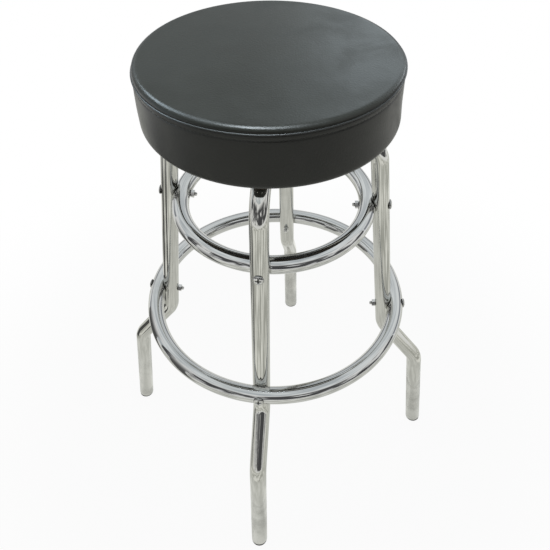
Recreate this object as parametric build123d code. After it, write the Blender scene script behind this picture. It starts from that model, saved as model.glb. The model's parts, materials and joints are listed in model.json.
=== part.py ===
from build123d import *
from math import atan2, cos, radians, sin, sqrt, tan
import os

# Bar stool: a padded round seat that swivels on four bent chrome legs, tied by two tube rings.
# Millimetres, +Z up, origin on the floor under the middle of the seat, front leg towards -Y.

# Overall sizes
seat_height = 762.0  # floor to the crown of the cushion
seat_diameter = 347.0  # across the sewn lip
seat_thickness = 84.0  # crown to the turned-under hem

# Leg tube and its run
tube_diameter = 25.4
tube_wall = 1.2
leg_splay = 5.8  # degrees from upright, the same above and below the joggle
leg_top_reach = 143.7  # from the stool's axis to where leg and arm lines meet
foot_reach = 262.0  # from the stool's axis to the leg line at the floor
upper_kink_height = 270.0
lower_kink_height = 188.0
top_bend_radius = 48.0
kink_bend_radius = 40.0
arm_end_reach = 30.0  # inner end of the arm from the stool's axis
foot_end_height = 4.5  # tube end above the floor, on the leg line

# Tube rings
upper_ring_height = 525.0
foot_ring_height = 318.0
saddle_depth = 6.0  # how far a ring is pressed in to seat against a leg
saddle_gap = 0.1

# Foot glides
glide_inset = 0.5  # how much smaller the sole is than the tube, on the radius
glide_plug_length = 14.0
glide_plug_gap = 0.1
glide_edge_radius = 1.5

# Screws and nuts
screw_diameter = 6.0
screw_head_diameter = 11.0  # seat screws and leg bolts
screw_head_height = 3.6
ring_screw_head_diameter = 15.0
ring_screw_head_height = 3.2
head_round_share = 0.8  # rounding of a head's edge, as a share of its height
recess_share = 0.55  # span of a cross recess, as a share of the head's diameter
recess_width = 1.6
recess_depth = 2.0
screw_hole_gap = 0.25
thread_gap = 0.04
nut_flats = 10.0
nut_height = 5.0
thread_past_nut = 4.0
fastener_seat_gap = 0.15

# Swivel
plate_thickness = 2.5
race_radius = 38.0  # circle of ball centres
race_rise = 2.85  # how far the sheet is pressed up into a race
race_wall = 3.0
race_gap = 5.0  # between the crests of the two races
ball_diameter = 8.0
ball_count = 16
ball_play = 0.15
cage_thickness = 1.2
cage_side = 2.0  # cage width left on each side of a ball
cage_play = 0.2
leg_bolt_spacing = 22.0
leg_bolt_clear = 3.0  # between the race and the nearest nut
plate_margin = 10.0  # plate edge beyond the outer leg bolt
plate_corner_radius = 12.0
arm_seat_gap = 0.05
rivet_diameter = 12.0
rivet_head_diameter = 22.0
rivet_head_height = 3.0
rivet_hold_gap = 0.02
rivet_running_gap = 0.05
washer_thickness = 1.5
washer_play = 0.1
seat_screw_inset = 15.0  # from the plate edges to a seat screw
driver_hole_clear = 2.5  # driver hole in the base plate, beyond the screw head's radius

# Seat board and T-nuts
board_thickness = 12.0
rivet_well_gap = 5.0  # board clearance round the rivet head
tnut_barrel_wall = 1.0
tnut_flange_diameter = 18.0
tnut_flange_thickness = 1.3
tnut_barrel_length = 9.0
tnut_gap = 0.05
tnut_sink = 0.1

# Cushion and cover
cover_thickness = 1.2
soft_gap = 0.3
welt_reach = 1.5  # how far the sewn lip stands out of the cover
welt_height = 2.4
welt_round = 1.0
welt_tuck = 6.0  # sewn edges behind the lip, let into a groove of the foam
crown_height = 9.5  # crown above the middle of the rim's roll
rim_roll_radius = 8.0
rim_drop = 1.5  # straight fall of the top panel from its roll to the sewn lip
side_draw_in = 3.5  # how much smaller the side is at the bottom, on the radius
bottom_roll_radius = 8.0
hem_width = 20.0

# Staples
staple_count = 24
staple_crown = 10.0
staple_wire_width = 1.2
staple_wire_thickness = 0.6
staple_leg_length = 8.0
staple_slot_gap = 0.1

# Heights worked out from the crown down
tube_radius = tube_diameter / 2
screw_radius = screw_diameter / 2
ball_radius = ball_diameter / 2
rivet_radius = rivet_diameter / 2
seat_underside = seat_height - seat_thickness
board_bottom = seat_underside + cover_thickness
board_top = board_bottom + board_thickness
race_half_height = plate_thickness + race_rise + ball_play + ball_radius
swivel_middle = board_bottom - race_half_height
base_plate_bottom = swivel_middle - race_half_height
arm_height = base_plate_bottom - arm_seat_gap - tube_radius

# Swivel plate sizes worked out from the race outwards
race_half_width = ball_radius + race_wall
nut_corner_radius = nut_flats / sqrt(3)
inner_leg_bolt = race_radius + race_half_width + leg_bolt_clear + nut_corner_radius
outer_leg_bolt = inner_leg_bolt + leg_bolt_spacing
plate_half = outer_leg_bolt + plate_margin
seat_screw_place = plate_half - seat_screw_inset

# Leg line and the way a screw crosses it, in the leg's own upright plane (X outwards, Z up)
splay = radians(leg_splay)
across_leg = Vector(cos(splay), 0, sin(splay))
along_leg = Vector(sin(splay), 0, -cos(splay))
ring_to_leg = tube_diameter - saddle_depth

leg_turns = {"front": -90, "right": 0, "back": 90, "left": 180}


def leg_line(height):
    """Point of the straight upper leg's axis at a height."""
    return Vector(leg_top_reach + (arm_height - height) * tan(splay), 0, height)


def foot_line(height):
    """Point of the foot's axis at a height."""
    return Vector(foot_reach - height * tan(splay), 0, height)


def ring_centre(height, side):
    """Middle of a ring's tube beside a leg: side is -1 inside the legs, +1 outside."""
    on_leg = leg_line(height - side * ring_to_leg * sin(splay))
    return on_leg + across_leg * (side * ring_to_leg)


upper_ring_centre = ring_centre(upper_ring_height, -1)
foot_ring_centre = ring_centre(foot_ring_height, 1)


def rod(start, direction, length, radius):
    """Plain round bar from a start point along a direction."""
    return extrude(Plane(origin=start, z_dir=direction) * Circle(radius), amount=length)


def around(solid):
    """The same solid beside each of the four legs."""
    return [Rot(0, 0, turn) * solid for turn in leg_turns.values()]


def revolved(edges):
    """Solid of revolution about the stool's axis from a closed outline in the XZ plane."""
    return revolve(make_face(edges), axis=Axis.Z)


def disc_ring(outer, inner, bottom, top):
    """Flat ring about the stool's axis."""
    return Pos(0, 0, bottom) * extrude(Circle(outer) - Circle(inner), amount=top - bottom)


def pan_screw(length, head_diameter=screw_head_diameter, head_height=screw_head_height):
    """Cross-recess pan-head screw: seat of the head at the origin, head up, thread down."""
    head = extrude(Circle(head_diameter / 2), amount=head_height)
    head = fillet(head.edges().group_by(Axis.Z)[-1], head_round_share * head_height)
    slot = Pos(0, 0, head_height) * Box(recess_share * head_diameter, recess_width, 2 * recess_depth)
    head -= slot + Rot(0, 0, 90) * slot
    return head + extrude(Circle(screw_radius), amount=-length)


def hex_nut():
    """Hex nut with its seat at the origin and its body up."""
    outline = RegularPolygon(nut_corner_radius, 6) - Circle(screw_radius + thread_gap)
    return extrude(outline, amount=nut_height)


def placed(solid, origin, direction):
    """A solid drawn along +Z, set at a point along a direction in the leg's plane."""
    return Plane(origin=origin, x_dir=(0, 1, 0), z_dir=direction) * solid


def screw_hole(point, direction):
    """Through hole for a screw that crosses both tubes at a point."""
    reach = 2 * tube_diameter
    return rod(point - direction * reach, direction, 2 * reach, screw_radius + screw_hole_gap)


# Legs

def leg():
    """One bent leg tube in the XZ plane, foot to arm end, with its screw holes."""
    path = FilletPolyline(
        foot_line(foot_end_height),
        foot_line(lower_kink_height),
        leg_line(upper_kink_height),
        leg_line(arm_height),
        Vector(arm_end_reach, 0, arm_height),
        radius=[kink_bend_radius, kink_bend_radius, top_bend_radius],
    )
    section = Circle(tube_radius) - Circle(tube_radius - tube_wall)
    tube = sweep(Plane(origin=path @ 0, z_dir=path % 0) * section, path=path)
    tube -= screw_hole(upper_ring_centre, across_leg)
    tube -= screw_hole(foot_ring_centre, across_leg)
    for reach in (inner_leg_bolt, outer_leg_bolt):
        tube -= screw_hole(Vector(reach, 0, arm_height), Vector(0, 0, 1))
    return tube


def glide():
    """Foot glide: a plug inside the tube and a sole cut level with the floor."""
    end = foot_line(foot_end_height)
    plug_radius = tube_radius - tube_wall - glide_plug_gap
    sole_radius = tube_radius - glide_inset
    sole = rod(end, along_leg, 2 * tube_diameter, sole_radius)
    below_floor = Pos(end.X, 0, -2 * tube_diameter) * Box(
        4 * tube_diameter, 4 * tube_diameter, 4 * tube_diameter
    )
    sole -= below_floor
    sole = fillet(sole.edges().group_by(Axis.Z)[0], glide_edge_radius)
    return sole + rod(end, along_leg * -1, glide_plug_length, plug_radius)


# Tube rings

def ring_arc(centre, radius, side, angle):
    """Solid round bar bent along an arc of a ring, with the leg at its middle."""
    section = Plane(origin=centre, x_dir=(side, 0, 0), z_dir=(0, 1, 0)) * Circle(radius)
    return Rot(0, 0, -angle / 2) * revolve(section, axis=Axis.Z, revolution_arc=angle)


def tube_ring(centre, side):
    """Closed ring of tube, pressed in where each leg seats against it and drilled for its screws."""
    quarter_turn = 360 / len(leg_turns)
    start = centre - across_leg * (side * ring_to_leg) - along_leg * tube_diameter
    saddle_radius = tube_radius + saddle_gap
    saddle = rod(start, along_leg, 2 * tube_diameter, saddle_radius)
    saddle_back = rod(start, along_leg, 2 * tube_diameter, saddle_radius + tube_wall)
    quarter = ring_arc(centre, tube_radius, side, quarter_turn) - saddle
    quarter -= ring_arc(centre, tube_radius - tube_wall, side, 1.1 * quarter_turn) - saddle_back
    quarters = around(quarter - screw_hole(centre, across_leg))
    ring = quarters[0] + quarters[1:]
    return ring.fix()


def ring_screws(seat):
    """Screws through ring and leg: seat is the outermost tube surface on the screw's line."""
    grip = ring_to_leg + tube_diameter + 2 * fastener_seat_gap
    length = grip + nut_height + thread_past_nut
    screw = pan_screw(length, ring_screw_head_diameter, ring_screw_head_height)
    screw = placed(screw, seat + across_leg * fastener_seat_gap, across_leg)
    nut = placed(hex_nut(), seat - across_leg * (grip - fastener_seat_gap), across_leg * -1)
    return around(screw), around(nut)


def upper_ring_fasteners():
    return ring_screws(upper_ring_centre + across_leg * (ring_to_leg + tube_radius))


def foot_ring_fasteners():
    return ring_screws(foot_ring_centre + across_leg * tube_radius)


# Swivel

def swivel_plate(outer_face, inward):
    """Pressed square plate with a ball race: inward is +1 for the base plate, -1 for the top plate."""
    blank = RectangleRounded(2 * plate_half, 2 * plate_half, plate_corner_radius)
    plate = Pos(0, 0, outer_face) * extrude(blank, amount=inward * plate_thickness)
    crest = swivel_middle - inward * race_gap / 2
    low, high = sorted((outer_face + inward * plate_thickness / 2, crest))
    plate += disc_ring(race_radius + race_half_width, race_radius - race_half_width, low, high)
    plate -= Pos(0, 0, swivel_middle) * Torus(race_radius, ball_radius + ball_play)
    low, high = sorted((outer_face, outer_face + inward * race_rise))
    return plate - disc_ring(race_radius + ball_radius, race_radius - ball_radius, low, high)


def upright_hole(x, y, radius):
    """Hole through the whole swivel and the board at a place."""
    return Pos(x, y, base_plate_bottom) * extrude(Circle(radius), amount=board_top - base_plate_bottom)


def corners(solid_at):
    """One solid at each corner place of the swivel plates."""
    signs = [(-1, -1), (1, -1), (1, 1), (-1, 1)]
    return [solid_at(x * seat_screw_place, y * seat_screw_place) for x, y in signs]


def swivel_base_plate():
    driver_hole_radius = screw_head_diameter / 2 + driver_hole_clear
    plate = swivel_plate(base_plate_bottom, 1)
    plate -= upright_hole(0, 0, rivet_radius + rivet_hold_gap)
    for reach in (inner_leg_bolt, outer_leg_bolt):
        plate -= around(upright_hole(reach, 0, screw_radius + screw_hole_gap))
    return plate - corners(lambda x, y: upright_hole(x, y, driver_hole_radius))


def swivel_top_plate():
    plate = swivel_plate(board_bottom, -1)
    plate -= upright_hole(0, 0, rivet_radius + rivet_running_gap)
    return plate - corners(lambda x, y: upright_hole(x, y, screw_radius + screw_hole_gap))


def swivel_rivet():
    """Pivot of the swivel: a headed rivet, closed over its washer above the top plate."""
    shank_top = board_bottom + washer_thickness + 2 * washer_play
    head = extrude(Circle(rivet_head_diameter / 2), amount=rivet_head_height)
    rivet = Pos(0, 0, base_plate_bottom - rivet_head_height) * head
    shank = extrude(Circle(rivet_radius), amount=shank_top - base_plate_bottom)
    rivet += Pos(0, 0, base_plate_bottom) * shank
    return rivet + Pos(0, 0, shank_top) * head


def swivel_washer():
    bottom = board_bottom + washer_play
    bore = rivet_radius + rivet_running_gap
    return disc_ring(rivet_head_diameter / 2, bore, bottom, bottom + washer_thickness)


def at_balls(solid):
    """The same solid at each ball's place."""
    step = 360 / ball_count
    return [Rot(0, 0, i * step) * Pos(race_radius, 0, swivel_middle) * solid for i in range(ball_count)]


def ball_cage():
    half_width = ball_radius + cage_play + cage_side
    low = swivel_middle - cage_thickness / 2
    cage = disc_ring(race_radius + half_width, race_radius - half_width, low, low + cage_thickness)
    return cage - at_balls(Cylinder(ball_radius + cage_play, 2 * cage_thickness))


def leg_bolts():
    """Screws up through the arms and the base plate, with nuts on the plate."""
    grip = tube_diameter + arm_seat_gap + plate_thickness + 2 * fastener_seat_gap
    seat = arm_height - tube_radius - fastener_seat_gap
    screw = Rot(180, 0, 0) * pan_screw(grip + nut_height + thread_past_nut / 2)
    nut_seat = base_plate_bottom + plate_thickness + fastener_seat_gap
    bolts = []
    nuts = []
    for reach in (inner_leg_bolt, outer_leg_bolt):
        bolts += around(Pos(reach, 0, seat) * screw)
        nuts += around(Pos(reach, 0, nut_seat) * hex_nut())
    return bolts, nuts


# Seat

cover_radius = seat_diameter / 2 - welt_reach
roll_middle = seat_height - crown_height
welt_top = roll_middle - rim_drop
welt_bottom = welt_top - welt_height
welt_root = cover_radius - cover_thickness - welt_tuck
side_lean = atan2(side_draw_in, welt_bottom - seat_underside)


def side_radius(height, depth):
    """Radius of the drawn-in side at a height, a depth inside its outer face."""
    return cover_radius - (welt_bottom - height) * tan(side_lean) - depth / cos(side_lean)


def crown_edges(depth):
    """Crown and rolled rim, a depth inside the cover's outer face: edges, their start and their end."""
    roll_place = cover_radius - rim_roll_radius
    rise = crown_height - rim_roll_radius
    crown_radius = (roll_place**2 + crown_height**2 - rim_roll_radius**2) / (2 * rise)
    crown_centre = seat_height - crown_radius
    lean = atan2(roll_place, roll_middle - crown_centre)

    def on_crown(angle):
        reach = crown_radius - depth
        return Vector(reach * sin(angle), 0, crown_centre + reach * cos(angle))

    def on_roll(angle):
        reach = rim_roll_radius - depth
        return Vector(roll_place + reach * sin(angle), 0, roll_middle + reach * cos(angle))

    crown = ThreePointArc(on_crown(0), on_crown(lean / 2), on_crown(lean))
    roll = ThreePointArc(on_crown(lean), on_roll((lean + radians(90)) / 2), on_roll(radians(90)))
    return [crown, roll], on_crown(0), on_roll(radians(90))


def side_run(top, depth, inner_end):
    """Side and rolled-under bottom, a depth inside the cover's outer face: one line, lip to inner end."""
    bottom = seat_underside + depth
    corner = Vector(side_radius(bottom, depth), 0, bottom)
    return FilletPolyline(top, corner, Vector(inner_end, 0, bottom), radius=[bottom_roll_radius - depth])


board_radius = side_radius(seat_underside, 0) - bottom_roll_radius
hem_end = board_radius - hem_width
staple_reach = board_radius - hem_width / 2


def top_panel():
    """Vinyl top of the cover, a thin crowned shell with a rolled rim that drops to the lip."""
    outer, outer_top, outer_end = crown_edges(0)
    inner, inner_top, inner_end = crown_edges(cover_thickness)
    outer_hem = Vector(outer_end.X, 0, welt_top)
    inner_hem = Vector(inner_end.X, 0, welt_top)
    drop = Polyline(outer_end, outer_hem, inner_hem, inner_end)
    return revolved(outer + drop.edges() + inner + [Line(inner_top, outer_top)])


def welt():
    """Sewn lip between the top panel and the side band, with its seam allowance behind it."""
    lip = disc_ring(seat_diameter / 2, welt_root, welt_bottom, welt_top)
    outer_edges = lip.edges().filter_by(GeomType.CIRCLE).sort_by(lambda edge: edge.radius)[-2:]
    return fillet(outer_edges, welt_round)


def at_staples(solid):
    """The same solid at each staple's place."""
    step = 360 / staple_count
    place = Pos(staple_reach, 0, seat_underside)
    return [Rot(0, 0, (i + 0.5) * step) * place * solid for i in range(staple_count)]


def staple(gap):
    """Staple pressed up from below, its crown under the hem: gap widens it into its own slot."""
    crown = Box(staple_wire_width, staple_crown, staple_wire_thickness)
    crown = Pos(0, 0, -staple_wire_thickness / 2) * crown
    prong = Box(staple_wire_width + 2 * gap, staple_wire_thickness + 2 * gap, staple_leg_length + gap)
    place = (staple_crown - staple_wire_thickness) / 2
    rise = (staple_leg_length + gap) / 2
    prongs = [Pos(0, side * place, rise) * prong for side in (-1, 1)]
    return crown + prongs


def side_band():
    """Vinyl side of the cover, drawn in towards the bottom and turned under the board."""
    outer_top = Vector(cover_radius, 0, welt_bottom)
    inner_top = Vector(side_radius(welt_bottom, cover_thickness), 0, welt_bottom)
    outer = side_run(outer_top, 0, hem_end)
    inner = side_run(inner_top, cover_thickness, hem_end)
    outline = outer.edges() + inner.edges() + [Line(outer_top, inner_top), Line(outer @ 1, inner @ 1)]
    return revolved(outline) - at_staples(staple(staple_slot_gap))


def seat_board():
    """Plywood disc with a well for the rivet, T-nut holes and staple slots."""
    well = rivet_head_diameter / 2 + rivet_well_gap
    barrel_hole = screw_radius + thread_gap + tnut_barrel_wall + tnut_gap
    flange_hole = tnut_flange_diameter / 2 + tnut_gap
    sink = tnut_flange_thickness + tnut_sink
    board = disc_ring(board_radius, well, board_bottom, board_top)
    board -= corners(lambda x, y: upright_hole(x, y, barrel_hole))
    board -= corners(lambda x, y: Pos(x, y, board_top - sink) * extrude(Circle(flange_hole), amount=sink))
    return board - at_staples(staple(staple_slot_gap))


def seat_foam():
    """Cushion that fills the cover and wraps the board's edge."""
    depth = cover_thickness + soft_gap
    crown, crown_top, crown_end = crown_edges(depth)
    skirt_end = board_radius + soft_gap
    side = side_run(crown_end, depth, skirt_end)
    step_in = Vector(skirt_end, 0, board_top)
    middle = Vector(0, 0, board_top)
    inside = Polyline(side @ 1, step_in, middle, crown_top)
    cushion = revolved(crown + side.edges() + inside.edges())
    return cushion - disc_ring(cover_radius, welt_root, welt_bottom, welt_top)


def tnuts():
    bore = screw_radius + thread_gap
    flange_top = board_top - tnut_sink
    flange = Pos(0, 0, flange_top - tnut_flange_thickness) * extrude(
        Circle(tnut_flange_diameter / 2), amount=tnut_flange_thickness
    )
    barrel = Pos(0, 0, flange_top - tnut_barrel_length) * extrude(
        Circle(bore + tnut_barrel_wall), amount=tnut_barrel_length
    )
    nut = flange + barrel - Pos(0, 0, board_bottom) * extrude(Circle(bore), amount=board_thickness)
    return corners(lambda x, y: Pos(x, y, 0) * nut)


def seat_screws():
    length = plate_thickness + board_thickness - tnut_sink - tnut_flange_thickness
    screw = Pos(0, 0, board_bottom - plate_thickness) * Rot(180, 0, 0) * pan_screw(length)
    return corners(lambda x, y: Pos(x, y, 0) * screw)


# Every piece under its own name

upper_screws, upper_nuts = upper_ring_fasteners()
foot_screws, foot_nuts = foot_ring_fasteners()
arm_bolts, arm_nuts = leg_bolts()

pieces = {
    "upper_ring": tube_ring(upper_ring_centre, -1),
    "foot_ring": tube_ring(foot_ring_centre, 1),
    "upper_ring_screws": Compound(children=upper_screws),
    "upper_ring_nuts": Compound(children=upper_nuts),
    "foot_ring_screws": Compound(children=foot_screws),
    "foot_ring_nuts": Compound(children=foot_nuts),
    "leg_bolts": Compound(children=arm_bolts),
    "leg_bolt_nuts": Compound(children=arm_nuts),
    "swivel_base_plate": swivel_base_plate(),
    "swivel_rivet": swivel_rivet(),
    "swivel_washer": swivel_washer(),
    "ball_cage": ball_cage(),
    "bearing_balls": Compound(children=at_balls(Sphere(ball_radius))),
    "swivel_top_plate": swivel_top_plate(),
    "seat_screws": Compound(children=seat_screws()),
    "seat_tnuts": Compound(children=tnuts()),
    "seat_board": seat_board(),
    "seat_foam": seat_foam(),
    "seat_top_panel": top_panel(),
    "seat_side_band": side_band(),
    "seat_welt": welt(),
    "hem_staples": Compound(children=at_staples(staple(0))),
}
leg_tube = leg()
foot_glide = glide()
for name, turn in leg_turns.items():
    pieces["leg_" + name] = Rot(0, 0, turn) * leg_tube
    pieces["glide_" + name] = Rot(0, 0, turn) * foot_glide

os.makedirs("parts", exist_ok=True)
for name, shape in pieces.items():
    export_step(shape, "parts/" + name + ".step")
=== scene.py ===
# %% [markdown]
# # A padded swivel stool on bent chrome tubes
# The stool is four bent tube legs, two tube rings that tie them, and a round padded seat on a ball
# swivel. Its solids come in as a fixed frame that already has every size and joint. This lesson
# gives each solid its finish, and models again the pieces whose look depends on a smooth or a soft
# surface: the chrome tubes, the cushion, its cover and its sewn lip.

# %% Load the solids and keep their box
import json
from math import atan2, ceil, cos, pi, radians, sin, sqrt, tan

import bmesh
import bpy
from mathutils import Matrix, Vector
from mathutils.bvhtree import BVHTree


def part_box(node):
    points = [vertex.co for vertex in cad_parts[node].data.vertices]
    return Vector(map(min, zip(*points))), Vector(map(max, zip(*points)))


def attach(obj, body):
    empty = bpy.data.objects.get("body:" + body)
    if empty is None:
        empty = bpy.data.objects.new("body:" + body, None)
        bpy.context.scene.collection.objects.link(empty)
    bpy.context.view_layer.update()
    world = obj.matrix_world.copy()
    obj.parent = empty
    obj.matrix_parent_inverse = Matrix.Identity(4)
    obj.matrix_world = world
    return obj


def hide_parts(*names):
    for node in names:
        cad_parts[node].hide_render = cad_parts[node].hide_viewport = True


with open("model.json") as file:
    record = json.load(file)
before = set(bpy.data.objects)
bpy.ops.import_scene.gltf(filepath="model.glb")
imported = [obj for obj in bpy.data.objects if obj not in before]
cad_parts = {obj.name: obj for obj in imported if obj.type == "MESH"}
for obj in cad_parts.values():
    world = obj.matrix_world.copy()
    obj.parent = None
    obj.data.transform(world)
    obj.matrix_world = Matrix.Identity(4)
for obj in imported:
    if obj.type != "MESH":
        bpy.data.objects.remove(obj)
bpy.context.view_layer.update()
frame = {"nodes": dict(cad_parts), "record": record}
nodes = frame["nodes"]

# %% [markdown]
# ## The camera
# The photograph was taken from close by, a little above the seat, so the legs draw together towards
# the floor. The place, direction and focal length come from fitting the stool's outlines to the
# picture. A camera could be aimed at the stool with a constraint, but a fixed turn keeps the fit
# exact. The picture is cropped low, and a small shift of the lens gives that crop without tipping
# the stool.

# %% Set up the camera
picture_size = 550
focal_pixels = 688.3
camera_yaw = -0.1033
camera_pitch = -0.7039
level_reach = cos(camera_pitch)
looking = Vector((sin(camera_yaw) * level_reach, cos(camera_yaw) * level_reach, sin(camera_pitch)))

lens = bpy.data.cameras.new("stool_camera")
lens.sensor_width = 36
lens.lens = focal_pixels * lens.sensor_width / picture_size
lens.shift_x = -0.0236
lens.shift_y = -0.1309
camera = bpy.data.objects.new("stool_camera", lens)
camera.location = (0.10035, -0.76921, 1.17400)
camera.rotation_euler = looking.to_track_quat("-Z", "Y").to_euler()
bpy.context.scene.collection.objects.link(camera)
bpy.context.scene.camera = camera
bpy.context.scene.view_settings.view_transform = "Standard"
print("lens", round(lens.lens, 2), "mm")

# %% [markdown]
# ## Node helpers
# Every finish below is a small tree of shader nodes. A few helpers keep the trees short to read:
# they add a node, feed a socket from a value or from another node, and start a group with named
# sockets.

# %% Helpers for shader trees
def add_node(tree, kind, **settings):
    """New shader node of a kind, with its properties set."""
    node = tree.nodes.new("ShaderNode" + kind)
    for name, value in settings.items():
        setattr(node, name, value)
    return node


def put(tree, socket, source):
    """Feeds one socket: another socket is linked to it, a plain value is set on it."""
    if isinstance(source, bpy.types.NodeSocket):
        tree.links.new(source, socket)
    else:
        socket.default_value = source


def feed(tree, node, **sources):
    """Feeds input sockets by name, with _ for a space."""
    for name, source in sources.items():
        put(tree, node.inputs[name.replace("_", " ")], source)
    return node


def start_group(name, numbers, results):
    """Shader group that reads a place on the surface and some numbers, and puts out the named values."""
    tree = bpy.data.node_groups.new(name, "ShaderNodeTree")
    tree.interface.new_socket("Place", in_out="INPUT", socket_type="NodeSocketVector")
    for label, value in numbers.items():
        socket = tree.interface.new_socket(label, in_out="INPUT", socket_type="NodeSocketFloat")
        socket.default_value = value
    for label in results:
        tree.interface.new_socket(label, in_out="OUTPUT", socket_type="NodeSocketFloat")
    return tree, tree.nodes.new("NodeGroupInput").outputs, tree.nodes.new("NodeGroupOutput")


def start_material(name):
    """Material with its shader node, and the object's own coordinates to place patterns on."""
    material = bpy.data.materials.new(name)
    material.use_nodes = True
    tree = material.node_tree
    shader = tree.nodes["Principled BSDF"]
    place = add_node(tree, "TexCoord").outputs["Object"]
    return material, tree, shader, place


def add_group(tree, group, **sources):
    """One use of a shared group in a material."""
    node = add_node(tree, "Group", node_tree=group)
    return feed(tree, node, **sources).outputs


def spread(tree, value, low, high):
    """Maps a value of 0 to 1 onto a range, for roughness and the like."""
    node = feed(tree, add_node(tree, "MapRange"), Value=value, To_Min=low, To_Max=high)
    return node.outputs["Result"]


def ease(tree, value, start, end, low=0.0, high=1.0):
    """Maps a value from start to end onto low to high, with a smooth step."""
    node = feed(tree, add_node(tree, "MapRange", interpolation_type="SMOOTHSTEP"), Value=value,
                From_Min=start, From_Max=end, To_Min=low, To_Max=high)
    return node.outputs["Result"]


def calculate(tree, operation, *sources, clamp=False):
    """Result of a math node."""
    node = add_node(tree, "Math", operation=operation, use_clamp=clamp)
    for socket, source in zip(node.inputs, sources):
        put(tree, socket, source)
    return node.outputs["Value"]


def blend_colours(tree, mask, first, second):
    """Colour that goes from the first to the second as the mask goes from 0 to 1."""
    node = add_node(tree, "Mix", data_type="RGBA")
    tree.links.new(mask, node.inputs[0])
    for socket, colour in ((node.inputs[6], first), (node.inputs[7], second)):
        put(tree, socket, (*colour, 1) if isinstance(colour, tuple) else colour)
    return node.outputs[2]


def mix_shaders(tree, mask, first, second):
    """Shader that goes from the first to the second as the mask goes from 0 to 1."""
    node = add_node(tree, "MixShader")
    for socket, source in zip(node.inputs, (mask, first, second)):
        tree.links.new(source, socket)
    return node.outputs["Shader"]


def bump(tree, height, strength, distance):
    """Normal that follows a height in metres times the distance."""
    node = feed(tree, add_node(tree, "Bump"), Height=height, Strength=strength, Distance=distance)
    return node.outputs["Normal"]


print("shader helpers ready")

# %% [markdown]
# ## Shared effects
# Handled metal and plastic carry faint smudges and hairline scratches. They could be painted as
# pictures, but noise on the object's own coordinates has no seams and works at any distance. The
# smudge is a soft cloud, and a scratch is the thin edge line of a stretched cell pattern.

# %% Handling marks
handling_marks, given, result = start_group("handling_marks", {"Smudge Scale": 25, "Scratch Scale": 60},
                                            ["Smudge", "Scratch"])
cloud = feed(handling_marks, add_node(handling_marks, "TexNoise"), Vector=given["Place"],
             Scale=given["Smudge Scale"], Detail=4, Roughness=0.6, Distortion=0.4)
drawn_out = feed(handling_marks, add_node(handling_marks, "Mapping"), Vector=given["Place"],
                 Rotation=(0.3, 0.2, 0.9), Scale=(1, 7, 1))
cells = feed(handling_marks, add_node(handling_marks, "TexVoronoi", feature="DISTANCE_TO_EDGE"),
             Vector=drawn_out.outputs["Vector"], Scale=given["Scratch Scale"])
thin_line = feed(handling_marks, add_node(handling_marks, "MapRange"), Value=cells.outputs["Distance"],
                 From_Min=0.0, From_Max=0.012, To_Min=1.0, To_Max=0.0)
feed(handling_marks, result, Smudge=ease(handling_marks, cloud.outputs["Fac"], 0.35, 0.7),
     Scratch=thin_line.outputs["Result"])
print("group:", handling_marks.name)

# %% [markdown]
# Pebbled surfaces, such as the vinyl's embossed grain, moulded plastic and sprayed enamel, differ
# only in the size and depth of the pebbles. One group gives the pebbles' height and a slow mottle
# for the colour.

# %% Pebble grain
pebble_grain, given, result = start_group("pebble_grain", {"Pebble Scale": 700, "Mottle Scale": 30},
                                          ["Height", "Mottle"])
waver = feed(pebble_grain, add_node(pebble_grain, "TexNoise"), Vector=given["Place"],
             Scale=given["Pebble Scale"], Detail=3, Roughness=0.55)
pebbles = feed(pebble_grain, add_node(pebble_grain, "TexVoronoi", feature="SMOOTH_F1"),
               Vector=given["Place"], Scale=given["Pebble Scale"], Smoothness=0.6)
height = calculate(pebble_grain, "MULTIPLY_ADD", waver.outputs["Fac"], 0.6, pebbles.outputs["Distance"])
mottle = feed(pebble_grain, add_node(pebble_grain, "TexNoise"), Vector=given["Place"],
              Scale=given["Mottle Scale"], Detail=5, Roughness=0.65)
feed(pebble_grain, result, Height=height, Mottle=mottle.outputs["Fac"])
print("group:", pebble_grain.name)

# %% [markdown]
# ## Metal finishes
# The tubes are polished and chrome plated. Real chrome reflects a little over half of the light, so
# its base colour is a mid grey and the surroundings do the rest. Drawn tube is never quite true,
# and a very slow bump gives its reflections their slight waver. The fasteners are zinc plated and
# duller. Where metal meets metal, an occlusion node darkens the colour: painted shade in those
# corners. A piece may also carry its own painted shade as an attribute.

# %% Chrome, zinc and bearing steel
finishes = {}
# Reach of the occlusion lookup that paints shade where metal meets metal.
painted_shade_reach = 0.003


def along_legs(tree, place):
    """Coordinates drawn out along upright tubes, so that a pattern on them becomes long streaks."""
    return feed(tree, add_node(tree, "Mapping"), Vector=place, Scale=(1, 1, 0.05)).outputs["Vector"]


def round_rings(tree, place):
    """Coordinates that stay the same round the stool's axis, so that a pattern runs along a ring."""
    parts = feed(tree, add_node(tree, "SeparateXYZ"), Vector=place).outputs
    level = feed(tree, add_node(tree, "CombineXYZ"), X=parts["X"], Y=parts["Y"])
    reach = add_node(tree, "VectorMath", operation="LENGTH")
    tree.links.new(level.outputs["Vector"], reach.inputs[0])
    flat = feed(tree, add_node(tree, "CombineXYZ"), X=reach.outputs["Value"], Y=parts["Z"])
    return flat.outputs["Vector"]


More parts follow.
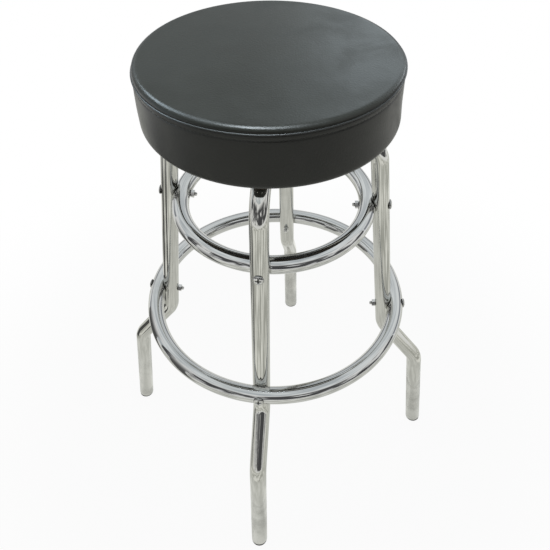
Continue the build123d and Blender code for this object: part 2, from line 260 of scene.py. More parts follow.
def metal(name, dark, light, smooth, rough, smudge_scale, wave_scale, wave_depth, open_enough, drawn=None):
    """Bare or plated metal: smudges shift its colour and gloss, and a slow wave moves its reflections.

    Painted shade darkens the colour where less than the open enough share of the directions is free within a
    few millimetres, and where a piece's painted shade attribute is set.
    """
    material, tree, shader, place = start_material(name)
    # Painted shade: occlusion and the piece's own painted shade attribute darken the base colour towards
    # near black.
    corner = feed(tree, add_node(tree, "AmbientOcclusion", samples=8), Distance=painted_shade_reach)
    corner_painted_shade = ease(tree, corner.outputs["AO"], open_enough - 0.6, open_enough, 0.25, 0.0)
    own_painted_shade = add_node(tree, "Attribute", attribute_name="painted_shade").outputs["Fac"]
    painted_shade_mask = calculate(tree, "MAXIMUM", corner_painted_shade, own_painted_shade)
    marks = add_group(tree, handling_marks, Place=place, Smudge_Scale=smudge_scale, Scratch_Scale=80)
    worn = calculate(tree, "MULTIPLY_ADD", marks["Scratch"], 0.25, marks["Smudge"], clamp=True)
    place = drawn(tree, place) if drawn else place
    wave = feed(tree, add_node(tree, "TexNoise"), Vector=place, Scale=wave_scale, Detail=1)
    plate = blend_colours(tree, marks["Smudge"], light, dark)
    feed(tree, shader, Metallic=1.0, Base_Color=blend_colours(tree, painted_shade_mask, plate, (0.03, 0.03, 0.028)),
         Roughness=spread(tree, worn, smooth, rough),
         Normal=bump(tree, wave.outputs["Fac"], 1.0, wave_depth))
    finishes[name] = material


metal("chrome_tube", (0.55, 0.55, 0.52), (0.62, 0.62, 0.59), smooth=0.035, rough=0.09, smudge_scale=18,
      wave_scale=260, wave_depth=0.00006, open_enough=0.6, drawn=along_legs)
metal("chrome_ring", (0.56, 0.565, 0.555), (0.62, 0.625, 0.615), smooth=0.035, rough=0.09, smudge_scale=18,
      wave_scale=260, wave_depth=0.00006, open_enough=0.6, drawn=round_rings)
metal("zinc_fasteners", (0.52, 0.52, 0.51), (0.66, 0.66, 0.64), smooth=0.10, rough=0.24, smudge_scale=180,
      wave_scale=400, wave_depth=0.00008, open_enough=0.7)
metal("bearing_steel", (0.40, 0.40, 0.41), (0.52, 0.52, 0.53), smooth=0.20, rough=0.40, smudge_scale=90,
      wave_scale=300, wave_depth=0.00008, open_enough=0.7)
print("metals:", sorted(finishes))

# %% [markdown]
# ## Painted, moulded and soft finishes
# The swivel plates are sprayed black enamel and the glides moulded plastic: both are dark with a
# fine pebble, one glossy and one dull. The seat cover is black vinyl on cloth, embossed with a
# leather grain, satin rather than shiny. Its base colour is nearly black, and its grey comes from
# the light that it reflects.

# %% Enamel, plastic and vinyl
def pebbled(name, dark, light, smooth, rough, gloss, pebble_scale, mottle_scale, depth):
    """Dark coated or moulded surface with a pebble bump and a mottle in its colour and gloss."""
    material, tree, shader, place = start_material(name)
    grain = add_group(tree, pebble_grain, Place=place, Pebble_Scale=pebble_scale, Mottle_Scale=mottle_scale)
    marks = add_group(tree, handling_marks, Place=place, Smudge_Scale=mottle_scale * 0.6, Scratch_Scale=30)
    feed(tree, shader, Base_Color=blend_colours(tree, grain["Mottle"], dark, light),
         Roughness=spread(tree, marks["Smudge"], smooth, rough), Specular_IOR_Level=gloss,
         Normal=bump(tree, grain["Height"], 0.5, depth))
    finishes[name] = material


pebbled("black_plate", (0.010, 0.010, 0.011), (0.024, 0.024, 0.025), smooth=0.28, rough=0.42, gloss=0.4,
        pebble_scale=500, mottle_scale=40, depth=0.00008)
pebbled("glide_plastic", (0.016, 0.016, 0.016), (0.040, 0.040, 0.038), smooth=0.48, rough=0.66, gloss=0.3,
        pebble_scale=1400, mottle_scale=90, depth=0.00012)
pebbled("black_vinyl", (0.0062, 0.0067, 0.0046), (0.0120, 0.0128, 0.0096), smooth=0.28, rough=0.42,
        gloss=0.31, pebble_scale=420, mottle_scale=26, depth=0.00016)
# The lip's vinyl is smoother and glossier than the cover's, and its lighter base colour is a painted
# highlight for the light that the lip and stitches catch.
pebbled("folded_vinyl_painted_highlight", (0.010, 0.011, 0.0105), (0.018, 0.0192, 0.0185), smooth=0.34, rough=0.44, gloss=0.42,
        pebble_scale=900, mottle_scale=60, depth=0.00005)
print("dark finishes:", sorted(finishes))

# %% [markdown]
# The board is dark stained plywood: long fibres on its faces and thin layers at its edge. A noise
# drawn out along one direction gives the fibres, and bands by height give the layers. The foam is
# open-cell, a yellowish sponge of small cells.

# %% Plywood and foam
material, tree, shader, place = start_material("plywood")
along_fibres = feed(tree, add_node(tree, "Mapping"), Vector=place, Scale=(6, 90, 1))
fibres = feed(tree, add_node(tree, "TexNoise"), Vector=along_fibres.outputs["Vector"], Scale=1.0, Detail=6,
              Distortion=0.6)
layers = feed(tree, add_node(tree, "TexWave", bands_direction="Z"), Vector=place, Scale=130, Distortion=0.3)
both = calculate(tree, "MULTIPLY_ADD", layers.outputs["Fac"], 0.3, fibres.outputs["Fac"], clamp=True)
feed(tree, shader, Base_Color=blend_colours(tree, both, (0.030, 0.024, 0.017), (0.075, 0.058, 0.042)),
     Roughness=spread(tree, fibres.outputs["Fac"], 0.6, 0.8),
     Normal=bump(tree, fibres.outputs["Fac"], 0.4, 0.0004))
finishes["plywood"] = material

material, tree, shader, place = start_material("foam")
sponge = feed(tree, add_node(tree, "TexVoronoi"), Vector=place, Scale=500).outputs["Distance"]
feed(tree, shader, Base_Color=blend_colours(tree, sponge, (0.80, 0.72, 0.44), (0.50, 0.41, 0.20)),
     Roughness=0.95, Normal=bump(tree, sponge, 0.6, 0.0008))
finishes["foam"] = material

for part in frame["record"]["subparts"]:
    slots = nodes[part["node"]].data.materials
    slots.clear()
    slots.append(finishes[part["material_slot"]])

# %% [markdown]
# ## A finished piece
# A new piece is shaped in a bmesh and then written to an object at the origin, so its place is in
# its mesh as a solid's is. It rides on a body of the stool, takes a finish, and stands in for the
# solids that it replaces.

# %% Write a shape to a piece of the stool
def finish_piece(name, shape, body, finish, slot, *replaced):
    """Object from a bmesh, smooth shaded, that rides on a body and replaces the named solids."""
    mesh = bpy.data.meshes.new(name)
    shape.to_mesh(mesh)
    shape.free()
    mesh.shade_smooth()
    mesh.materials.append(finishes[finish])
    piece = bpy.data.objects.new(name, mesh)
    bpy.context.scene.collection.objects.link(piece)
    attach(piece, body)
    if replaced:
        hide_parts(*replaced)
    print("piece:", name, len(mesh.polygons), "faces")
    return piece


# %% [markdown]
# ## The bent legs
# Each leg is one tube: a short level arm under the seat, a bend, a long splayed straight, and a
# joggle that steps the foot outwards. Sweeping a curve with a bevel would do, but a tube bender
# works straight by bend, and so does this: a circle is extruded along each straight and spun round
# the middle of each bend.

# %% Tube bender
tube_radius = 0.0127
tube_wall = 0.0012
splay = radians(5.8)


def edges_of(geometry):
    return [item for item in geometry if isinstance(item, bmesh.types.BMEdge)]


def verts_of(geometry):
    return [item for item in geometry if isinstance(item, bmesh.types.BMVert)]


def verts_on(rim):
    return list(dict.fromkeys(vert for edge in rim for vert in edge.verts))


def bent_tube(corners, bend_radii):
    """Open tube along a bent line in one plane, from the first corner to the last."""
    shape = bmesh.new()
    place = corners[0]
    heading = (corners[1] - place).normalized()
    turned = heading.to_track_quat("Z", "Y").to_matrix().to_4x4()
    bmesh.ops.create_circle(shape, segments=48, radius=tube_radius,
                            matrix=Matrix.Translation(place) @ turned)
    rim = shape.edges[:]
    for corner, beyond, bend_radius in zip(corners[1:], corners[2:], bend_radii):
        next_heading = (beyond - corner).normalized()
        angle = heading.angle(next_heading)
        setback = bend_radius * tan(angle / 2)
        rim = extrude_rim(shape, rim, corner - heading * setback - place)
        axis = heading.cross(next_heading).normalized()
        middle = corner - heading * setback + axis.cross(heading) * bend_radius
        bend = bmesh.ops.spin(shape, geom=rim + verts_on(rim), cent=middle, axis=axis, angle=angle,
                              steps=ceil(angle / 0.07))
        rim = edges_of(bend["geom_last"])
        place = corner + next_heading * setback
        heading = next_heading
    extrude_rim(shape, rim, corners[-1] - place)
    return shape


def extrude_rim(shape, rim, move):
    """Extrudes a loop of edges by a straight move and gives the new loop."""
    made = bmesh.ops.extrude_edge_only(shape, edges=rim)["geom"]
    bmesh.ops.translate(shape, verts=verts_of(made), vec=move)
    fresh = set(verts_of(made))
    return [edge for edge in edges_of(made) if set(edge.verts) <= fresh]


print("tube", 2000 * tube_radius, "mm across")

# %% Legs
arm_height = 0.64745
leg_top_reach = 0.1437
foot_reach = 0.262
upper_kink = 0.270
lower_kink = 0.188
foot_end = 0.0045
arm_end_reach = 0.030
top_bend_radius = 0.048
kink_bend_radius = 0.040
leg_turns = {name: Matrix.Rotation(radians(turn), 3, "Z")
             for name, turn in (("front", -90), ("right", 0), ("back", 90), ("left", 180))}


def leg_line(height):
    """Middle of the long straight at a height, in the leg's own upright plane."""
    return Vector((leg_top_reach + (arm_height - height) * tan(splay), 0, height))


def foot_line(height):
    return Vector((foot_reach - height * tan(splay), 0, height))


def thicken(piece, wall):
    """Gives a skin its wall, inwards."""
    solid = piece.modifiers.new("wall", "SOLIDIFY")
    solid.thickness = wall
    solid.offset = -1


def close_up(shape):
    """Merges doubled points and turns every face outwards."""
    bmesh.ops.remove_doubles(shape, verts=shape.verts[:], dist=1e-6)
    bmesh.ops.recalc_face_normals(shape, faces=shape.faces[:])


leg_corners = [foot_line(foot_end), foot_line(lower_kink), leg_line(upper_kink), leg_line(arm_height),
               Vector((arm_end_reach, 0, arm_height))]
for name, spun in leg_turns.items():
    shape = bent_tube(leg_corners, [kink_bend_radius, kink_bend_radius, top_bend_radius])
    bmesh.ops.rotate(shape, verts=shape.verts[:], cent=(0, 0, 0), matrix=spun)
    close_up(shape)
    leg_tube = finish_piece(name + "_leg_tube", shape, "frame", "chrome_tube", "chrome_tube", "leg_" + name)
    thicken(leg_tube, tube_wall)

# %% [markdown]
# ## The tube rings
# A ring is one tube rolled round and welded shut, so it is a circle spun about the stool's axis.
# Where a leg crosses it, the ring was pressed in to seat against the leg. That dent is made on the
# finished mesh: points too near to the leg's middle line are pushed away from it, and a soft limit
# leaves a rounded shoulder round the dent.

# %% Rings with pressed saddles
ring_to_leg = 0.0194
saddle_radius = tube_radius + 0.0001
shoulder = 0.004


def spin_round(shape, steps):
    """Spins a whole outline once about the stool's axis."""
    bmesh.ops.spin(shape, geom=shape.verts[:] + shape.edges[:], cent=(0, 0, 0), axis=(0, 0, 1),
                   angle=2 * pi, steps=steps, use_merge=True)
    close_up(shape)


def soft_limit(distance):
    """Distance that is never below the saddle's radius, eased over the shoulder."""
    over = distance - saddle_radius
    return saddle_radius + (over + sqrt(over * over + shoulder * shoulder * 0.16)) / 2


def pressed_ring(name, ring_radius, ring_height, side, steps):
    """Ring of tube with a saddle for each leg: side is -1 inside the legs and +1 outside them."""
    shape = bmesh.new()
    upright = Matrix.Translation((ring_radius, 0, ring_height)) @ Matrix.Rotation(radians(90), 4, "X")
    bmesh.ops.create_circle(shape, segments=48, radius=tube_radius, matrix=upright)
    spin_round(shape, steps)
    out = Vector((cos(splay), 0, sin(splay)))
    along = Vector((sin(splay), 0, -cos(splay)))
    on_leg = Vector((ring_radius, 0, ring_height)) - out * (side * ring_to_leg)
    for spun in leg_turns.values():
        middle = spun @ on_leg
        direction = spun @ along
        for vert in shape.verts:
            from_leg = vert.co - middle
            from_leg -= direction * from_leg.dot(direction)
            if from_leg.length < saddle_radius + 3 * shoulder:
                vert.co += from_leg.normalized() * (soft_limit(from_leg.length) - from_leg.length)
    return finish_piece(name + "_tube", shape, "frame", "chrome_ring", "chrome_tube", name)


ring_places = {}
for name, height, side, steps in (("upper_ring", 0.525, -1, 288), ("foot_ring", 0.318, 1, 384)):
    on_leg = leg_line(height - side * ring_to_leg * sin(splay)).x
    ring_places[name] = Vector((on_leg + side * ring_to_leg * cos(splay), 0, height))
    pressed_ring(name, ring_places[name].x, height, side, steps)

# %% [markdown]
# ## Ring screws
# A machine screw holds each crossing: a domed head with a cross recess outside, and a threaded end
# that stands out of its nut inside. A cross drawn on a disc would stay flat in a close view. So the
# head is a grid pressed into a disc, raised to a dome and sunk where the driver goes. The thread is
# a zigzag that is spun round the shank and along it at once. Painted shade darkens the head's edge
# and the recess, and each point keeps its share of it.

# %% Domed screws with a real thread
head_radius = 0.0075
head_height = 0.0032
head_gap = 0.00015
shank_radius = 0.003
core_radius = 0.00245
point_radius = 0.0018
screw_length = ring_to_leg + 2 * tube_radius + 0.0093
thread_length = 0.014
thread_pitch = 0.001


def ring_out(shape, rim, ring):
    """Extrudes a round rim about the upright axis to the next radius and height of a profile."""
    old_radius = rim[0].verts[0].co.xy.length
    old_height = rim[0].verts[0].co.z
    rim = extrude_rim(shape, rim, (0, 0, ring[1] - old_height))
    wider = ring[0] / old_radius
    bmesh.ops.scale(shape, verts=verts_on(rim), vec=(wider, wider, 1))
    return rim


def disc_grid(shape, segments, radius):
    """Square grid pressed into a disc, which has no pinched pole in its middle."""
    bmesh.ops.create_grid(shape, x_segments=segments, y_segments=segments, size=1)
    for vert in shape.verts:
        x, y = vert.co.xy
        vert.co.xy = Vector((x * sqrt(1 - y * y / 2), y * sqrt(1 - x * x / 2))) * radius


def recess_depth(place):
    """How far the driver's cross is sunk at a place on the head."""
    across, along = sorted((abs(place.x), abs(place.y)))
    wall = min(1, max(0, (0.0011 - across) / 0.0004))
    return 0.0019 * wall * max(0, 1 - (along / 0.0042) ** 4)


def domed_screw():
    """Screw about the upright axis, its head up, the seat of the head at the origin, with painted shade at
    its edge and in its recess.
    """
    shape = bmesh.new()
    painted_shade = shape.verts.layers.float.new("painted_shade")
    disc_grid(shape, 56, head_radius)
    for vert in shape.verts:
        share = min(1, vert.co.xy.length / head_radius)
        sunk = recess_depth(vert.co)
        vert.co.z = head_height * sqrt(1 - share ** 2.5) - sunk
        # Painted shade: a dark ring at the head's edge and a dark cross recess, kept for each point.
        edge_painted_shade = 0.6 * min(1, max(0, (share - 0.82) / 0.14))
        vert[painted_shade] = max(edge_painted_shade, 0.9 * min(1, sunk / 0.0012))
    rim = [edge for edge in shape.edges if edge.is_boundary]
    start = thread_length - screw_length
    for ring in ((shank_radius, 0), (shank_radius, start), (core_radius, start),
                 (core_radius, 0.0006 - screw_length), (point_radius, -screw_length)):
        rim = ring_out(shape, rim, ring)
    for vert in shape.verts:
        vert[painted_shade] *= vert.co.z > -0.001
    bmesh.ops.edgeloop_fill(shape, edges=rim)
    zigzag = [shape.verts.new((radius, 0, start - down * thread_pitch))
              for radius, down in ((core_radius, 0), (shank_radius, 0.5), (core_radius, 1))]
    ridges = [shape.edges.new(pair) for pair in zip(zigzag, zigzag[1:])]
    turns = round(thread_length / thread_pitch) - 2
    bmesh.ops.spin(shape, geom=zigzag + ridges, cent=(0, 0, 0), axis=(0, 0, 1),
                   dvec=(0, 0, -thread_pitch / 24), angle=2 * pi * turns, steps=24 * turns)
    close_up(shape)
    return shape


one_screw = domed_screw()
for name, past_ring in (("upper_ring", tube_radius + ring_to_leg), ("foot_ring", tube_radius)):
    screws = bmesh.new()
    placed = bpy.data.meshes.new(name + "_screw")
    for spun in leg_turns.values():
        out = spun @ Vector((cos(splay), 0, sin(splay)))
        seat = spun @ ring_places[name] + out * (past_ring + head_gap)
        one_screw.to_mesh(placed)
        placed.transform(Matrix.Translation(seat) @ out.to_track_quat("Z", "Y").to_matrix().to_4x4())
        screws.from_mesh(placed)
    bpy.data.meshes.remove(placed)
    domed = finish_piece(name + "_domed_screws", screws, "frame", "zinc_fasteners", "zinc_fasteners",
                         name + "_screws")
    domed.data.set_sharp_from_angle(angle=radians(40))
one_screw.free()

# %% [markdown]
# ## The cushion's skin
# The seat is a foam puck in a vinyl cover: a nearly flat top, a tight roll at the rim, a sewn lip,
# and a nearly straight side that turns under the board. A spun profile would leave a pinched pole
# in the middle of the top, where the light falls. So the middle is a grid pressed into a disc, and
# the rest is extruded from its rim, ring by ring, along the profile.

# %% Profile of the cover
seat_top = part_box("seat_top_panel")[1].z
lip_low, lip_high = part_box("seat_welt")
cover_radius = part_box("seat_top_panel")[1].x - 0.001
seat_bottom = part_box("seat_side_band")[0].z
roll_radius = 0.008
roll_middle = seat_top - 0.0095
seam_height = (lip_low.z + lip_high.z) / 2
side_slope = 0.0004 / (lip_low.z - seat_bottom)
turn_radius = 0.008
groove_height = lip_low.z - 0.0065
crown_flat = 0.0015


def crown_height(radius):
    """Height of the slack top before the filling swells it."""
    share = radius / (cover_radius - roll_radius)
    return seat_top - crown_flat - 0.0008 * share * share


def side_reach(height):
    """Radius of the side at a height, with the shallow groove that the stitching pulls in."""
    groove = 0.0006 * max(0, 1 - abs(height - groove_height) / 0.0022)
    return cover_radius - (lip_low.z - height) * side_slope - groove


grid_radius = 0.100
top_rings = [(radius, crown_height(radius)) for radius in (0.110, 0.120, 0.130, 0.139, 0.147, 0.154, 0.160)]
for step in range(9):
    angle = radians(4 + 86 * step / 8)
    reach = cover_radius - roll_radius * (1 - sin(angle))
    top_rings.append((reach, roll_middle + roll_radius * cos(angle)))
top_rings.append((cover_radius - 0.0002, lip_high.z))
top_rings.append((cover_radius - 0.0022, seam_height))

side_heights = [lip_low.z, lip_low.z - 0.0025]
side_heights += [groove_height + step * 0.0011 for step in (2, 1, 0, -1, -2)]
side_bottom = seat_bottom + turn_radius
plain_top = groove_height - 0.006
side_heights += [plain_top - step * (plain_top - side_bottom) / 8 for step in range(9)]
side_rings = [(side_reach(height), height) for height in side_heights]
turn_middle = side_reach(side_bottom) - turn_radius
for step in range(1, 7):
    angle = radians(90 * step / 6)
    side_rings.append((turn_middle + turn_radius * cos(angle), side_bottom - turn_radius * sin(angle)))
side_rings += [(turn_middle - step * 0.005, seat_bottom) for step in (1, 2, 3, 4)]
print("profile rings:", len(top_rings), "on the top and", len(side_rings), "on the side")

# %% Skin from a grid and extruded rings
def slack_skin():
    """Open skin of the cushion: faces of the top have material number 0, those of the side 1."""
    shape = bmesh.new()
    disc_grid(shape, 44, grid_radius)
    for vert in shape.verts:
        vert.co.z = crown_height(vert.co.xy.length)
    rim = [edge for edge in shape.edges if edge.is_boundary]
    for ring in top_rings:
        rim = ring_out(shape, rim, ring)
    top_faces = set(shape.faces)
    for ring in side_rings:
        rim = ring_out(shape, rim, ring)
    for face in shape.faces:
        face.material_index = 0 if face in top_faces else 1
    bmesh.ops.recalc_face_normals(shape, faces=shape.faces[:])
    return shape


skin = slack_skin()
print("skin:", len(skin.faces), "faces")

# %% [markdown]
# ## Filling the cushion
# Foam presses the cover from inside while the seam and the stapled hem hold it. A cloth simulation
# with air pressure does the same: the sewn ring and the hem are pinned, gravity is off, and twenty
# frames are enough for the top to crown and the side to swell. The top was stretched as it was
# sewn, so its cloth shrinks a little and stays free of folds. The move of each point is capped, so
# the seat keeps its size.

# %% Swell the cover by cloth pressure
most_swell = 0.0035


def swell(shape):
    """Runs the cloth on a copy of the skin and moves the skin's points, by the cap at most."""
    mesh = bpy.data.meshes.new("cover_trial")
    shape.to_mesh(mesh)
    trial = bpy.data.objects.new("cover_trial", mesh)
    bpy.context.scene.collection.objects.link(trial)
    sewn = trial.vertex_groups.new(name="sewn")
    held = [vert.index for vert in mesh.vertices
            if lip_low.z - 0.0001 < vert.co.z and vert.co.xy.length > cover_radius - roll_radius
            or vert.co.z < side_bottom - 0.5 * turn_radius]
    sewn.add(held, 1.0, "REPLACE")
    taut = trial.vertex_groups.new(name="taut")
    taut.add([vert.index for vert in mesh.vertices if vert.co.z > lip_high.z], 1.0, "REPLACE")
    cloth = trial.modifiers.new("filling", "CLOTH")
    cloth.settings.quality = 8
    cloth.settings.mass = 0.3
    cloth.settings.tension_stiffness = 30
    cloth.settings.compression_stiffness = 30
    cloth.settings.shear_stiffness = 15
    cloth.settings.bending_stiffness = 4
    cloth.settings.shrink_max = 0.02
    cloth.settings.vertex_group_shrink = "taut"
    cloth.settings.vertex_group_mass = "sewn"
    cloth.settings.use_pressure = True
    cloth.settings.uniform_pressure_force = 4
    cloth.settings.effector_weights.gravity = 0
    cloth.collision_settings.use_collision = False
    for number in range(1, 21):
        bpy.context.scene.frame_set(number)
    swollen = trial.evaluated_get(bpy.context.evaluated_depsgraph_get()).to_mesh()
    moves = [there.co - here.co for here, there in zip(mesh.vertices, swollen.vertices)]
    bpy.context.scene.frame_set(1)
    bpy.data.objects.remove(trial)
    shape.verts.ensure_lookup_table()
    for vert, move in zip(shape.verts, moves):
        vert.co += move * min(1, most_swell / max(move.length, 1e-9))
    return max(move.length for move in moves)


furthest = swell(skin)
print("cloth moved", round(furthest * 1000, 1), "mm at most, capped at", most_swell * 1000, "mm")
for _ in range(2):
    inner = [vert for vert in skin.verts if vert.co.xy.length < 0.150 and vert.co.z > roll_middle]
    bmesh.ops.smooth_vert(skin, verts=inner, factor=0.5, use_axis_z=True)
print("crown now", round(max(vert.co.z for vert in skin.verts), 4), "CAD", round(seat_top, 4))

# %% [markdown]
# ## Hand-sewn seam
# No cover is sewn quite level and no foam is cut quite true. On this seat the lip runs lower on the
# left and higher on the right, and wanders a little. The cushion is a few millimetres thicker at
# its front edge, and sits a little to the left. The same small moves are given to the cover and to
# the lip, so they stay together.

# %% Let the seam wander and the cushion settle
lean = 0.0034
lean_height = 0.030
moved_left = 0.0018
leans_left = 0.0015
moved_forward = 0.0012


def seam_shift(place):
    """How far the seam is above or below its level at a place round the seat."""
    angle = atan2(place.y, place.x)
    tilt = 0.0022 + 0.0026 * cos(angle)
    return tilt + 0.0004 * sin(3 * angle + 0.6) + 0.00025 * sin(7 * angle + 2.0)


def settle(verts):
    """Leans the top up towards the front, and sets the cushion a little to the left and the front."""
    for vert in verts:
        share = min(1, (vert.co.z - seat_bottom) / lean_height)
        vert.co.z -= lean * share * vert.co.y / cover_radius
        vert.co.x -= moved_left + leans_left * share
        vert.co.y -= moved_forward


def follow_seam(verts):
    """Moves points with the seam: fully beside it, fading over the roll and down the side."""
    for vert in verts:
        above = (vert.co.z - seam_height) / 0.010
        below = (seam_height - vert.co.z) / (seam_height - seat_bottom)
        hold = max(0, 1 - above) if above > 0 else max(0, 1 - below) ** 1.5
        if vert.co.xy.length > 0.120:
            vert.co.z += seam_shift(vert.co) * hold


follow_seam(skin.verts)
settle(skin.verts)
print("seam left", round(seam_shift(Vector((-1, 0, 0))) * 1000, 1), "mm, right",
      round(seam_shift(Vector((1, 0, 0))) * 1000, 1), "mm")

# %% [markdown]
# ## Top panel, side band and foam
# The cover is two pieces of vinyl, so the skin is cut at the seam: each copy keeps the faces of one
# panel. A subdivision smooths it, and a wall gives the vinyl its thickness. The foam inside is its
# own outline spun round the stool's axis, drawn in from the cover, closed underneath and bevelled at its
# rims.

# %% Cut the skin into panels
def panel(name, number, node):
    """One panel of the cover, cut from the skin by its material number."""
    shape = skin.copy()
    other = [face for face in shape.faces if face.material_index != number]
    bmesh.ops.delete(shape, geom=other, context="FACES")
    for face in shape.faces:
        face.material_index = 0
    piece = finish_piece(name, shape, "seat", "black_vinyl", "black_vinyl", node)
    smooth = piece.modifiers.new("smooth", "SUBSURF")
    smooth.levels = 1
    smooth.render_levels = 1
    thicken(piece, 0.0011)
    return piece


top_panel = panel("seat_top_cover", 0, "seat_top_panel")
side_panel = panel("seat_side_cover", 1, "seat_side_band")

# %% Foam core
foam = bmesh.new()
outline = [(0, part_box("seat_foam")[1].z - 0.003), (0.150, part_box("seat_foam")[1].z - 0.005),
           (0.164, roll_middle), (0.164, seam_height), (0.158, seat_bottom + 0.018),
           (0.152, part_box("seat_board")[1].z + 0.0005), (0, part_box("seat_board")[1].z + 0.0005)]
corners = [foam.verts.new((radius, 0, height)) for radius, height in outline]
for first, second in zip(corners, corners[1:]):
    foam.edges.new((first, second))
spin_round(foam, 96)
rims = [edge for edge in foam.edges if edge.calc_face_angle(0) > 0.3]
bmesh.ops.bevel(foam, geom=rims, offset=0.004, affect="EDGES", segments=3, profile=0.5, material=-1)
foam_core = finish_piece("seat_foam_core", foam, "seat", "foam", "foam", "seat_foam")

# %% [markdown]
# ## The sewn lip and its stitching
# Between the panels a thin lip of folded vinyl stands out and catches the light. It is a small
# flattened bead spun round the seat and moved with the seam. Under it runs a row of stitches in the
# groove. Each stitch is a tiny stretched ball, laid on the side band where a ray from the stool's
# axis meets it.

# %% Lip
lip = bmesh.new()
bead = Matrix.Translation((cover_radius - 0.0002, 0, seam_height)) @ Matrix.Rotation(radians(90), 4, "X")
bmesh.ops.create_circle(lip, segments=14, radius=1, matrix=bead @ Matrix.Diagonal((0.0016, 0.0012, 1, 1)))
spin_round(lip, 320)
for vert in lip.verts:
    vert.co.z += seam_shift(vert.co)
settle(lip.verts)
seat_lip = finish_piece("seat_sewn_lip", lip, "seat", "folded_vinyl_painted_highlight", "black_vinyl", "seat_welt")

# %% Stitches
stitch_pitch = 0.0050
stitch_size = Matrix.Diagonal((0.0019, 0.00042, 0.00036, 1))
stitch_count = round(2 * pi * cover_radius / stitch_pitch)
band = BVHTree.FromObject(side_panel, bpy.context.evaluated_depsgraph_get())
stitches = bmesh.new()
for number in range(stitch_count):
    angle = 2 * pi * number / stitch_count
    out = Vector((cos(angle), sin(angle), 0))
    height = groove_height + seam_shift(out) * 0.9 - lean * out.y
    place, normal, _, _ = band.ray_cast(out * 0.3 + Vector((0, 0, height)), -out)
    along = Vector((-out.y, out.x, 0.04)).normalized()
    across = normal.cross(along).normalized()
    turned = Matrix((along, across, along.cross(across))).transposed().to_4x4()
    bmesh.ops.create_icosphere(stitches, subdivisions=1, radius=1,
                               matrix=Matrix.Translation(place) @ turned @ stitch_size)
seat_stitching = finish_piece("seat_stitching", stitches, "seat", "folded_vinyl_painted_highlight", "black_vinyl")
print("stitches:", stitch_count)

# %% [markdown]
# ## Floor and light
# The stool stands on a white sweep. The floor is a white surface that still takes the stool's
# shadow, and both it and the world show as white to the camera and in the chrome, by the kind of
# ray that meets them. Seen from below, the floor is clear, so the seat's underside can be looked
# at. An even sky lights the stool at a plain level. A soft box behind it gives the seat its sheen.
# Four more draw bright lines along the roll of the rim. They are linked to the cover alone, as if
# flagged off from the tubes.

# %% Floor
def seen_directly(tree):
    """1 for rays from the camera, from gloss or through glass, 0 for the rays that light a surface."""
    path = add_node(tree, "LightPath").outputs
    direct_or_gloss = calculate(tree, "MAXIMUM", path["Is Camera Ray"], path["Is Glossy Ray"])
    return calculate(tree, "MAXIMUM", direct_or_gloss, path["Is Transmission Ray"])


floor_shape = bmesh.new()
bmesh.ops.create_circle(floor_shape, cap_ends=True, segments=96, radius=9)
floor_mesh = bpy.data.meshes.new("floor")
floor_shape.to_mesh(floor_mesh)
floor_shape.free()
floor = bpy.data.objects.new("floor", floor_mesh)
bpy.context.scene.collection.objects.link(floor)

material, tree, shader, place = start_material("white_sweep")
reach = add_node(tree, "VectorMath", operation="LENGTH")
tree.links.new(place, reach.inputs[0])
fade = ease(tree, reach.outputs["Value"], 0.35, 0.9, 0.93, 1.0)
share = calculate(tree, "MULTIPLY", fade, seen_directly(tree))
paper = feed(tree, add_node(tree, "BsdfDiffuse"), Color=(0.92, 0.92, 0.92, 1)).outputs["BSDF"]
glow = feed(tree, add_node(tree, "Emission"), Color=(1, 1, 1, 1), Strength=1.0).outputs["Emission"]
clear = add_node(tree, "BsdfTransparent").outputs["BSDF"]
from_below = add_node(tree, "NewGeometry").outputs["Backfacing"]
sweep = mix_shaders(tree, from_below, mix_shaders(tree, share, paper, glow), clear)
feed(tree, tree.nodes["Material Output"], Surface=sweep)
tree.nodes.remove(shader)
floor_mesh.materials.append(material)
print("floor", floor.dimensions[:])

# %% World and lamps
world = bpy.data.worlds.new("studio")
bpy.context.scene.world = world
world.use_nodes = True
tree = world.node_tree
even_light = feed(tree, tree.nodes["Background"], Color=(0.97, 0.985, 1.0, 1), Strength=0.55)
bearing = add_node(tree, "TexCoord").outputs["Generated"]
cloud = feed(tree, add_node(tree, "TexNoise"), Vector=bearing, Scale=2.5, Detail=2)
patch = ease(tree, cloud.outputs["Fac"], 0.38, 0.62)
sky = blend_colours(tree, patch, (0.95, 0.985, 1.0), (0.60, 0.64, 0.67))
cool_white = feed(tree, add_node(tree, "Background"), Color=sky, Strength=1.0)
plain_white = feed(tree, add_node(tree, "Background"), Color=(1, 1, 1, 1), Strength=1.0)
reflected = mix_shaders(tree, seen_directly(tree), even_light.outputs["Background"],
                        cool_white.outputs["Background"])
by_camera = add_node(tree, "LightPath").outputs["Is Camera Ray"]
pictured = mix_shaders(tree, by_camera, reflected, plain_white.outputs["Background"])
feed(tree, tree.nodes["World Output"], Surface=pictured)
cover = bpy.data.collections.new("cover")
for piece in (top_panel, side_panel, seat_lip, seat_stitching):
    cover.objects.link(piece)


def soft_box(name, place, size, power, colour):
    """Square lamp that looks at the seat and lights its cover alone."""
    lamp = bpy.data.lights.new(name, "AREA")
    lamp.size = size
    lamp.energy = power
    lamp.color = colour
    box = bpy.data.objects.new(name, lamp)
    box.location = place
    box.rotation_euler = (Vector((0, 0, seat_top)) - Vector(place)).to_track_quat("-Z", "Y").to_euler()
    bpy.context.scene.collection.objects.link(box)
    box.light_linking.receiver_collection = cover


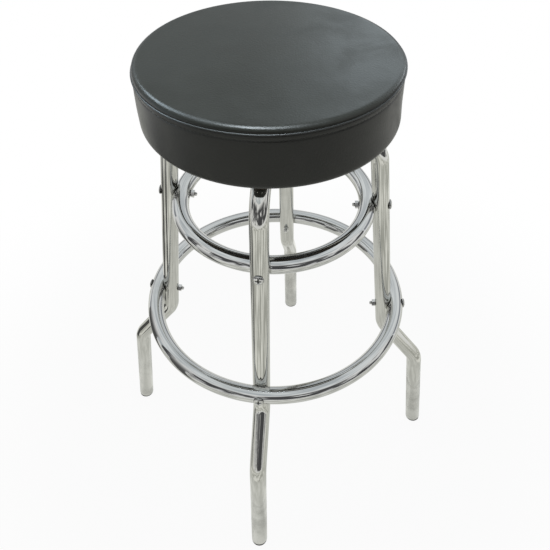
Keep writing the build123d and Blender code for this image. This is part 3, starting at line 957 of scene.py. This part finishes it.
soft_box("back_lamp", (0.60, 2.4, 2.0), size=1.4, power=10, colour=(0.78, 0.91, 1.0))
soft_box("top_lamp", (-0.2, -0.15, 2.7), size=0.7, power=60, colour=(0.84, 0.94, 1.0))
soft_box("left_lamp", (-1.45, 0.5, 2.1), size=0.9, power=32, colour=(0.74, 0.89, 1.0))
soft_box("right_lamp", (1.3, 1.5, 1.25), size=0.6, power=4, colour=(0.82, 0.93, 1.0))
soft_box("side_lamp", (-2.0, -0.5, 0.75), size=1.2, power=4, colour=(0.66, 0.84, 1.0))

# %% [markdown]
# Chrome only shows its surroundings, and in plain white it would look like plaster. A photographer
# hangs dark cloth round a set for that. Here a patchy curtain stands round the stool, narrow flags
# stand near the legs, and patchy sheets lie on the floor, so the tubes carry soft streaks. All of
# them show in reflections alone: they take no light from the stool and the camera doesn't see them.

# %% Dark cloth for the chrome
def reflected_only(name, shape, light, dark, patch_scale, least, most, *fades):
    """Stage cloth seen only in reflections: noise from least to most turns it dark.

    Each fade takes the dark away from its end height to its start height.
    """
    mesh = bpy.data.meshes.new(name)
    shape.to_mesh(mesh)
    shape.free()
    cloth, tree, shader, place = start_material(name)
    cloud = feed(tree, add_node(tree, "TexNoise"), Vector=place, Scale=patch_scale, Detail=2)
    mask = ease(tree, cloud.outputs["Fac"], least, most)
    height = feed(tree, add_node(tree, "SeparateXYZ"), Vector=place).outputs["Z"]
    for start, end in fades:
        mask = calculate(tree, "MULTIPLY", mask, ease(tree, height, start, end))
    feed(tree, shader, Base_Color=(0, 0, 0, 1), Specular_IOR_Level=0.0, Emission_Strength=1.0,
         Emission_Color=blend_colours(tree, mask, light, dark))
    mesh.materials.append(cloth)
    hung = bpy.data.objects.new(name, mesh)
    bpy.context.scene.collection.objects.link(hung)
    hung.visible_camera = False
    hung.visible_diffuse = False
    hung.visible_shadow = False


def upright_cloth(reach, start, end, low, high):
    """Curved cloth round the stool's axis from one bearing to another."""
    shape = bmesh.new()
    foot = Matrix.Rotation(radians(start), 3, "Z") @ Vector((reach, 0, low))
    head = foot + Vector((0, 0, high - low))
    shape.edges.new((shape.verts.new(foot), shape.verts.new(head)))
    bmesh.ops.spin(shape, geom=shape.verts[:] + shape.edges[:], cent=(0, 0, 0), axis=(0, 0, 1),
                   angle=radians(end - start), steps=24)
    return shape


white = (1, 1, 1)
patchy = (0.38, 0.62)
plain_dark = (-1, -0.9)
reflected_only("curtain_front", upright_cloth(2.2, -175, 14, 0.0, 2.2), white, (0.09, 0.09, 0.095), 1.2,
               0.37, 0.53, (0.0, 0.06), (2.2, 1.4))
reflected_only("curtain_back", upright_cloth(2.2, 15, 165, 0.2, 1.2), white, (0.30, 0.32, 0.35), 1.2,
               0.29, 0.45, (0.2, 0.35), (1.2, 0.8))
reflected_only("flag_front_left", upright_cloth(0.44, -153, -139, 0.0, 0.62), white, (0.12, 0.12, 0.12), 3,
               *plain_dark, (0.62, 0.29))
reflected_only("flag_left", upright_cloth(0.50, 170, 190, 0.0, 0.62), white, (0.10, 0.10, 0.10), 3,
               *plain_dark, (0.62, 0.29))
for name, reach, height, light, dark, patch_scale in (
        ("floor_sheet", 1.6, 0.0005, (1.0, 1.0, 0.95), (0.50, 0.505, 0.465), 5),
        ("foot_sheet", 0.42, 0.0008, (0.81, 0.815, 0.775), (0.65, 0.655, 0.62), 14)):
    sheet = bmesh.new()
    bmesh.ops.create_circle(sheet, cap_ends=True, segments=64, radius=reach,
                            matrix=Matrix.Translation((0, 0, height)))
    reflected_only(name, sheet, light, dark, patch_scale, *patchy)
